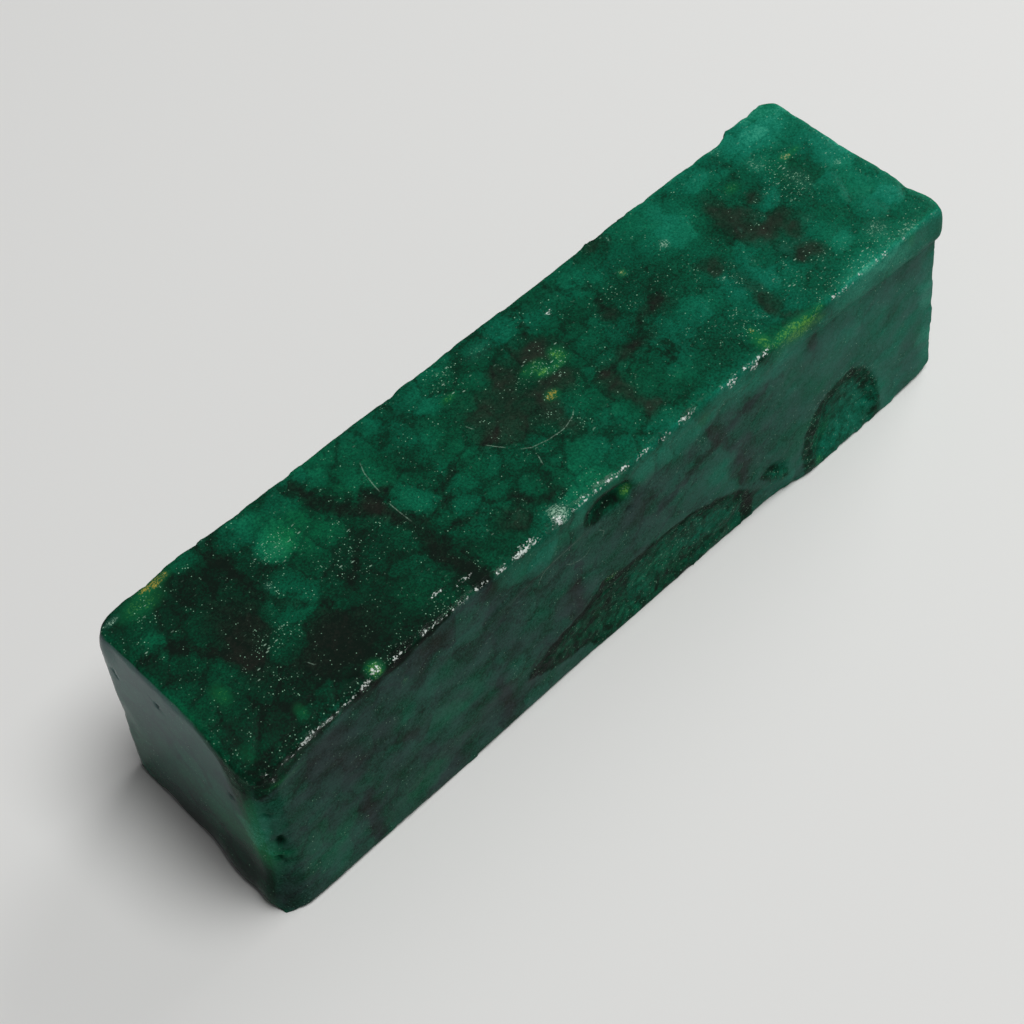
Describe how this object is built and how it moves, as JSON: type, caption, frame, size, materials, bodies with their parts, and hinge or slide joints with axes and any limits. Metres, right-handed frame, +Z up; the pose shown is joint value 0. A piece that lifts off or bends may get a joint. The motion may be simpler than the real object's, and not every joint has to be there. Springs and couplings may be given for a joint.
{
  "type": "raw emerald crystal bar",
  "caption": "Sawn rectangular bar of raw green emerald crystal, granular and opaque, with chipped foot edges and a worn corner, lying on its flat underside",
  "frame": {"origin": "under the middle of the bar, on the surface it lies on", "axes": "+X along the bar towards its squarer end, -Y out of the chipped front side, +Z up"},
  "size_m": [0.0752, 0.0198, 0.0205],
  "materials": {
    "emerald": "satin, waxed"
  },
  "bodies": {
    "root": {"emerald_bar": "emerald"}
  },
  "joints": []
}
